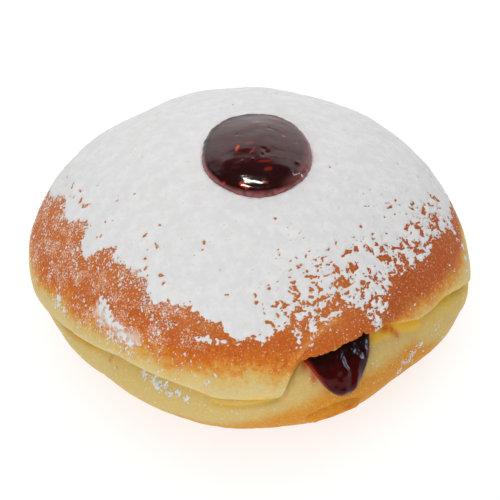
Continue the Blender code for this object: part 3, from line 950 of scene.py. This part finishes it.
def make_crumbs(grid, normals):
    """Loose crumbs of sugar: low uneven mounds on the crust, drawn out down the slope."""
    places, out, down, sizes, rng = crumb_places(grid, normals)
    down = down - out * np.sum(down * out, axis=-1, keepdims=True)
    length = np.linalg.norm(down, axis=-1, keepdims=True)
    down = np.where(length > 1e-9, down / np.where(length == 0, 1, length), 0)
    beside = np.cross(out, down)
    count = len(places)
    stretch = 1 + rng.uniform(0, 1.1, count) * (azimuth_of(places) < 0)
    lean = rng.normal(0, 0.5, count)
    turns = 2 * np.pi * np.arange(CRUMB_SIDES) / CRUMB_SIDES
    uneven = rng.uniform(0.65, 1.25, (count, CRUMB_SIDES))
    u = np.cos(turns) * uneven * stretch[:, None]
    v = np.sin(turns) * uneven
    spun_u = u * np.cos(lean)[:, None] - v * np.sin(lean)[:, None]
    spun_v = u * np.sin(lean)[:, None] + v * np.cos(lean)[:, None]
    size = sizes[:, None, None]
    reach = spun_u[..., None] * down[:, None] + spun_v[..., None] * beside[:, None]
    ring = places[:, None] + size * reach - 0.15 * size * out[:, None]
    top = places + (sizes * rng.uniform(0.35, 0.7, count))[:, None] * out
    bottom = places - 0.4 * sizes[:, None] * out
    points = np.concatenate([ring, top[:, None], bottom[:, None]], axis=1)
    each = CRUMB_SIDES + 2
    faces = []
    for start in range(0, count * each, each):
        for i in range(CRUMB_SIDES):
            here, after = start + i, start + (i + 1) % CRUMB_SIDES
            faces.append((here, after, start + CRUMB_SIDES))
            faces.append((after, here, start + CRUMB_SIDES + 1))
    made = make_object("sugar_crumbs", points.reshape(-1, 3), faces, sugar_surface("crumbs"),
                       {"thickness": np.full(count * each, 1)})
    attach(made, "root")


TOPPING_COLUMNS = 240
TOPPING_TOP_RINGS = 64
TOPPING_EDGE_RINGS = 12
TOPPING_WALL_RINGS = 6
TOPPING_UNDER_RINGS = 5
# Bits of fruit in the jam on top: x, y from its middle, half length, half width, direction
# in degrees, and how clearly each shows
FRUIT_BITS = (
    (-4.1, -1.6, 1, 0.34, 75, 0.8), (-1, -2.6, 1.1, 0.24, 55, 0.35),
    (-2.7, -11.3, 1.1, 0.42, -35, 1), (1.7, -10.7, 0.5, 0.22, 10, 0.6),
    (2.4, -7.3, 0.8, 0.55, 20, 0.22), (5.7, 3, 0.36, 0.3, 0, 0.55),
    (1.3, 6.4, 0.9, 0.22, 5, 0.35), (-0.1, 7.7, 0.8, 0.25, 15, 0.5),
    (3.5, 9.9, 1.1, 0.25, -20, 0.45), (-1.6, -0.2, 0.9, 0.5, 10, 0.15),
    (8.4, 1.5, 0.3, 0.25, 0, 0.3), (-6.9, -9.9, 0.35, 0.2, -30, 0.5),
    (1.6, -5.4, 1.5, 0.35, 8, 0.22),
)
# Small pits and bubbles in it: x, y, radius, height
PITS = (
    (2.6, 5.3, 0.4, -0.1), (3.5, 5, 0.35, -0.1), (4.1, 4.5, 0.3, -0.08),
    (-4.1, 3, 0.35, -0.09), (-3.1, 2.8, 0.3, -0.07), (1.5, -2, 0.4, -0.12),
    (2.1, -2.9, 0.5, -0.12), (1.2, -3.7, 0.4, -0.1), (-0.8, -4.9, 0.25, 0.08),
    (-3, -5.3, 0.25, 0.07), (0.4, 2.2, 1.6, 0.1), (5.2, 6.6, 0.25, 0.07),
    (7.3, -7.6, 0.6, 0.18), (8.6, -4.4, 0.5, 0.16), (-6.2, -5, 1.2, 0.14),
)
# The slope down to the rim: from one share of the jam's size to another, in mm
RIM_SLOPE_FROM, RIM_SLOPE_TO, RIM_SLOPE_DROP = 0.68, 1, 0.62


def jam_relief(x, y):
    """The unevenness of the jam on top, in mm, at places measured from its middle."""
    spots = np.stack([0.55 * x, y, np.zeros_like(x)], axis=-1)
    total = 0.13 * noise(spots, 4.5, 90) + 0.05 * noise(spots, 2.2, 91)
    total += 0.015 * noise(spots, 1, 92)
    share = np.hypot(x / TOPPING_ACROSS, y / TOPPING_ALONG)
    past = np.clip((share - RIM_SLOPE_FROM) / (RIM_SLOPE_TO - RIM_SLOPE_FROM), 0, 1)
    total -= RIM_SLOPE_DROP * past**2 * smoothstep(4, -4, y)
    for px, py, radius, height in PITS:
        total += height * np.exp(-((x - px) ** 2 + (y - py) ** 2) / radius**2)
    return total


def topping_fields(points):
    """Where the jam on top shows fruit, where it is thin, towards its rim, and where light is
    painted on it, in its middle and back.
    """
    x, y = points[..., 0] - AXIS_X - TOPPING_X, points[..., 1] - AXIS_Y - TOPPING_Y
    fruit = np.zeros_like(x)
    ragged = 0.3 * noise(points, 0.6, 95)
    for px, py, half_length, half_width, direction, clear in FRUIT_BITS:
        cosine, sine = math.cos(math.radians(direction)), math.sin(math.radians(direction))
        u = ((x - px) * cosine + (y - py) * sine) / half_length
        v = ((y - py) * cosine - (x - px) * sine) / half_width
        fruit = np.maximum(fruit, clear * smoothstep(1.3, 0.6, np.hypot(u, v) + ragged))
    share = np.hypot(x / TOPPING_ACROSS, y / TOPPING_ALONG)
    thin = smoothstep(0.95, 1, share) * (0.8 + 0.6 * noise(points, 1.2, 96))
    side = smoothstep(0.8, 0.97, share) * smoothstep(4, 9, x) * 0.5
    # Painted light: lighter in the middle and towards the back, dark at the front and the rim
    painted_light = smoothstep(-7.5, -4, y) * smoothstep(1, 0.7, share)
    return {"fruit": fruit, "thin": np.clip(np.maximum(thin, side), 0, 1), "painted_light": painted_light}


def topping_profile():
    """(share of its size, lift above the dimple) down the jam on top, from middle to foot."""
    edge = 1 - TOPPING_EDGE_ROUND / TOPPING_ACROSS
    rows = [
        (share, TOPPING_WALL + TOPPING_DOME * (1 - share**2))
        for share in np.linspace(0, edge, TOPPING_TOP_RINGS + 1)[1:]
    ]
    shoulder = rows[-1][1]
    for turn in np.linspace(0, 0.5 * math.pi, TOPPING_EDGE_RINGS + 1)[1:]:
        sunk = TOPPING_EDGE_ROUND * (1 - math.cos(turn))
        rows.append((edge + (1 - edge) * math.sin(turn), shoulder - sunk))
    wall = np.linspace(rows[-1][1], TOPPING_FOOT_ROUND, TOPPING_WALL_RINGS + 1)[1:]
    rows += [(1, lift) for lift in wall]
    inner = 1 - TOPPING_FOOT_ROUND / TOPPING_ACROSS
    rows += [(share, 0) for share in np.linspace(inner, 0, TOPPING_UNDER_RINGS + 1)[:-1]]
    return np.array(rows)


def make_topping():
    """The jam on top: a low uneven mound with a rounded rim, pits and bits of fruit."""
    shares, lifts = topping_profile().T
    turn = (2 * np.pi * np.arange(TOPPING_COLUMNS) / TOPPING_COLUMNS)[:, None]
    rim = np.concatenate([6 * np.cos(turn), 6 * np.sin(turn), 0 * turn], axis=1)
    ragged = 0.012 * noise(rim, 1.6, 97) + 0.012 * noise(rim, 0.5, 98)
    uneven = ragged[:, None] * smoothstep(0.85, 1, shares)
    reach = (1 + TOPPING_WAVE * np.cos(5 * turn + 1) + uneven) * shares
    x = TOPPING_ACROSS * reach * np.cos(turn)
    y = TOPPING_ALONG * reach * np.sin(turn)
    lift = lifts * (1 + TOPPING_LEAN * reach * np.sin(turn))
    lift += jam_relief(x, y) * smoothstep(0, TOPPING_WALL, lifts)
    z = crown_height(TOPPING_X + x, TOPPING_Y + y) + CLEARANCE + lift
    grid = np.stack([AXIS_X + TOPPING_X + x, AXIS_Y + TOPPING_Y + y, z], axis=-1)
    foot = float(crown_height(TOPPING_X, TOPPING_Y)) + CLEARANCE
    centre = np.zeros(1)
    top = foot + TOPPING_WALL + TOPPING_DOME + float(jam_relief(centre, centre)[0])
    middle = [AXIS_X + TOPPING_X, AXIS_Y + TOPPING_Y]
    surface = jam_surface("jam", TOP_DEEP, TOP_PAINTED_LIT, TOP_THIN, shine=0.5, roughness=0.09)
    made = make_closed("jam_dab", grid, [*middle, top], [*middle, foot], surface, topping_fields)
    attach(made, "root")
    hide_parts("jam_topping")


TONGUE_RINGS = 90
TONGUE_SIDES = 150
HEART_STEPS = 3


def filling_way():
    """Rows along the jam inside: radius, drift, height, lean, half width and half height."""
    height = EQUATOR_HEIGHT + FILLING_RISE
    heart = np.array(HEART)
    spots = np.linspace(0, len(heart) - 1, (len(heart) - 1) * HEART_STEPS + 1)
    rows = np.stack([np.interp(spots, np.arange(len(heart)), column) for column in heart.T])
    way = [(radius, 0, height, 0.5 * math.pi, w, h, 0) for radius, w, h in rows.T]
    azimuth = np.array([FILLING_AZIMUTH])
    top = EQUATOR_HEIGHT + along(SEAM_RISE, azimuth) - along(CREASE_GAP, azimuth)
    centre, across, up = shoulder_shape(azimuth, top)

    def outline(lean):
        return (
            centre[0][0] + (across[0] + TONGUE_STAND) * math.cos(lean),
            centre[1][0] + (up[0] + TONGUE_STAND) * math.sin(lean),
        )

    for step in range(TONGUE_RINGS):
        share = step / TONGUE_RINGS
        lean = 0.5 * math.pi + (TONGUE_TIP_LEAN - 0.5 * math.pi) * share
        radius, level = outline(lean)
        blunt = math.sqrt(1 - share**TONGUE_TIP_BLUNTNESS)
        half_width = TONGUE_HALF_WIDTH * (1 - TONGUE_TAPER * share**TONGUE_TAPER_CURVE)
        drift = TONGUE_DRIFT * share**TONGUE_DRIFT_CURVE
        half_height = TONGUE_HALF_HEIGHT * blunt
        way.append((radius, drift, level, lean, half_width * blunt, half_height, share))
    tip_radius, tip_level = outline(TONGUE_TIP_LEAN)
    return way, (tip_radius, -TONGUE_DRIFT, tip_level)


def beside_filling(radius, off, height):
    """Points at a radius from the axis, an offset to the filling's right and a height."""
    turn = math.radians(FILLING_AZIMUTH)
    points = around_axis(FILLING_AZIMUTH, radius, height)
    points[..., 0] += off * math.cos(turn)
    points[..., 1] += off * math.sin(turn)
    return points


def make_tongue():
    """The jam inside, with its tongue: ridged and lumpy outside, thin at its edges, and painted
    near black at its top, as shade under the lip.
    """
    way, tip = filling_way()
    around = 2 * np.pi * np.arange(TONGUE_SIDES) / TONGUE_SIDES
    grid = np.zeros((TONGUE_SIDES, len(way), 3))
    thin, painted_light, amber = np.zeros((3, TONGUE_SIDES, len(way)))
    for k, (radius, drift, level, lean, half_width, half_height, share) in enumerate(way):
        off = half_width * np.cos(around)
        lift = half_height * np.sin(around)
        out = smoothstep(0.1, 0.5, share) * np.maximum(np.sin(around), 0)
        down = np.array([0, 14 * share, 0])
        sway, swell = 1.3 * float(noise(down, 4, 105)), 0.5 * float(noise(down, 2.6, 106))
        ridge = (0.65 + swell) * bell(off + sway, -1.1, 1.6)
        ridge += (0.45 - swell) * bell(off + sway, 2.3, 1.2)
        spots = np.stack([off, np.full_like(off, 14 * share), np.zeros_like(off)], axis=-1)
        lumps = 0.3 * noise(spots, 3, 100) + 0.15 * noise(spots, 1.4, 103)
        lumps += 0.04 * noise(spots, 0.7, 104)
        lift = lift + out * (ridge * smoothstep(1, 0.85, share) + lumps)
        off = off * (1 - 0.1 * bell(share, 0.8, 0.18) * (off > 0))
        grid[:, k] = beside_filling(
            radius + lift * math.cos(lean), off - drift, level + lift * math.sin(lean)
        )
        edge = smoothstep(0.92, 1, np.abs(np.cos(around)))
        thin[:, k] = np.maximum(edge, smoothstep(0.92, 1, share)) * smoothstep(0.2, 0.5, share)
        # Painted shade: near black at the top under the lip, lighter crimson further down
        painted_light[:, k] = smoothstep(0.35, 0.8, share)
        amber[:, k] = 0.22 * smoothstep(0.86, 1, -np.cos(around)) * smoothstep(0.9, 0.5, share)
    inner = beside_filling(HEART_END, 0, EQUATOR_HEIGHT + FILLING_RISE)
    fields = {
        "thin": np.append(thin.ravel(), [0, 1]),
        "painted_light": np.append(painted_light.ravel(), [0, 1]),
        "fruit": np.append(amber.ravel(), [0, 0]),
    }
    surface = jam_surface(
        "jam_inside", INSIDE_DEEP, INSIDE_PAINTED_LIT, INSIDE_THIN, shine=0.2, roughness=0.16
    )
    outer = beside_filling(*tip)
    made = make_closed("jam_tongue", grid, inner, outer, surface, lambda points: fields)
    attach(made, "root")
    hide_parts("jam_filling")


def aim(thing, place, target):
    """Puts a camera or a light at a place, looking at a target."""
    thing.location = place
    thing.rotation_euler = (target - place).to_track_quat("-Z", "Y").to_euler()


# The camera: how high it stands, how far away, and how much it takes in at the bun
CAMERA_ELEVATION = math.radians(40)
CAMERA_DISTANCE = 0.9
CAMERA_WIDTH = 0.1075
CAMERA_RAISE = 3.66 * MM
CAMERA_SHIFT = -0.32 * MM
SENSOR_WIDTH = 36


def make_camera():
    """The camera at the photograph's angle, looking a little above the bun's middle."""
    data = bpy.data.cameras.new("camera")
    data.sensor_width = SENSOR_WIDTH
    data.lens = SENSOR_WIDTH * CAMERA_DISTANCE / CAMERA_WIDTH
    camera = add_object("camera", data)
    sine, cosine = math.sin(CAMERA_ELEVATION), math.cos(CAMERA_ELEVATION)
    middle = Vector((AXIS_X, AXIS_Y, EQUATOR_HEIGHT)) * MM
    target = middle + Vector((CAMERA_SHIFT, sine * CAMERA_RAISE, cosine * CAMERA_RAISE))
    aim(camera, target + CAMERA_DISTANCE * Vector((0, -cosine, sine)), target)
    bpy.context.scene.camera = camera


LIGHT_TARGET = Vector((0, 0, 0.03))


def make_panel(name, azimuth, elevation, distance, size, power, colour=(1, 1, 1),
               highlight=False):
    """A rectangular light that looks at the bun from an azimuth and elevation in degrees.

    It lights the surfaces softly, or it only puts a highlight on the glossy ones.
    """
    data = bpy.data.lights.new(name, "AREA")
    data.shape = "RECTANGLE"
    data.size, data.size_y = size
    data.energy = power
    data.color = colour
    light = add_object(name, data)
    turn, lift = math.radians(azimuth), math.radians(elevation)
    flat = math.cos(lift)
    way = Vector((flat * math.sin(turn), -flat * math.cos(turn), math.sin(lift)))
    aim(light, LIGHT_TARGET + distance * way, LIGHT_TARGET)
    light.visible_glossy = highlight
    light.visible_diffuse = not highlight


# The world's brightness: low in front and overhead, high behind, as a soft white wall
WORLD_FRONT = 0.08
WORLD_BACK = 1.6


def make_world():
    """A soft white wall behind the bun, fading to a dim room overhead and in front."""
    world = bpy.data.worlds.new("world")
    world.use_nodes = True
    nodes = Nodes(world.node_tree)
    way = nodes.add("ShaderNodeTexCoord").outputs["Generated"]
    split = nodes.add("ShaderNodeSeparateXYZ", Vector=way)
    behind = nodes.climb(split.outputs["Y"], 0.15, 0.75)
    level = nodes.climb(split.outputs["Z"], 0.68, 0.92, 1, 0)
    wall = nodes.math("MULTIPLY", behind, level)
    background = nodes.tree.nodes["Background"]
    nodes.link(nodes.climb(wall, 0, 1, WORLD_FRONT, WORLD_BACK), background.inputs["Strength"])
    background.inputs["Color"].default_value = (1, 1, 1, 1)
    bpy.context.scene.world = world


# The tints of the small bright lights
WARM_WHITE = (1, 0.98, 0.92)
SKY_BLUE = (0.62, 0.76, 1)


def make_light():
    """Plain soft studio light: two soft panels, and three small lights for the highlights."""
    make_world()
    make_panel("top_panel", 0, 80, 0.9, (0.9, 0.9), 3.9)
    make_panel("front_panel", -12, 35, 1, (0.8, 0.5), 5)
    make_panel("glint", 3, 97, 0.8, (0.27, 0.08), 3.6, WARM_WHITE, highlight=True)
    make_panel("window", 98, 14, 0.8, (0.12, 0.36), 2.2, SKY_BLUE, highlight=True)
    make_panel("sky", 103, 43, 0.8, (0.14, 0.1), 0.5, SKY_BLUE, highlight=True)


FLOOR_HALF_SIDE = 1500
FLOOR_GREY, FLOOR_GLOW = 0.34, 0.75


def make_floor():
    """A plain pale floor, which glows a little so that the shadow on it stays soft."""
    floor = Surface("floor")
    floor.set(
        Base_Color=(FLOOR_GREY, FLOOR_GREY, FLOOR_GREY, 1), Roughness=0.9,
        Specular_IOR_Level=0, Emission_Color=(1, 1, 1, 1), Emission_Strength=FLOOR_GLOW,
    )
    half = FLOOR_HALF_SIDE
    corners = [(-half, -half, 0), (half, -half, 0), (half, half, 0), (-half, half, 0)]
    make_object("floor", corners, [(0, 1, 2, 3)], floor.material)


def main():
    """Dresses the part, and sets up its light, floor and camera."""
    bpy.context.scene.view_settings.view_transform = "Standard"
    make_camera()
    make_light()
    make_floor()
    grid, normals = make_dough()
    make_sugar()
    make_crumbs(grid, normals)
    make_topping()
    make_tongue()


main()
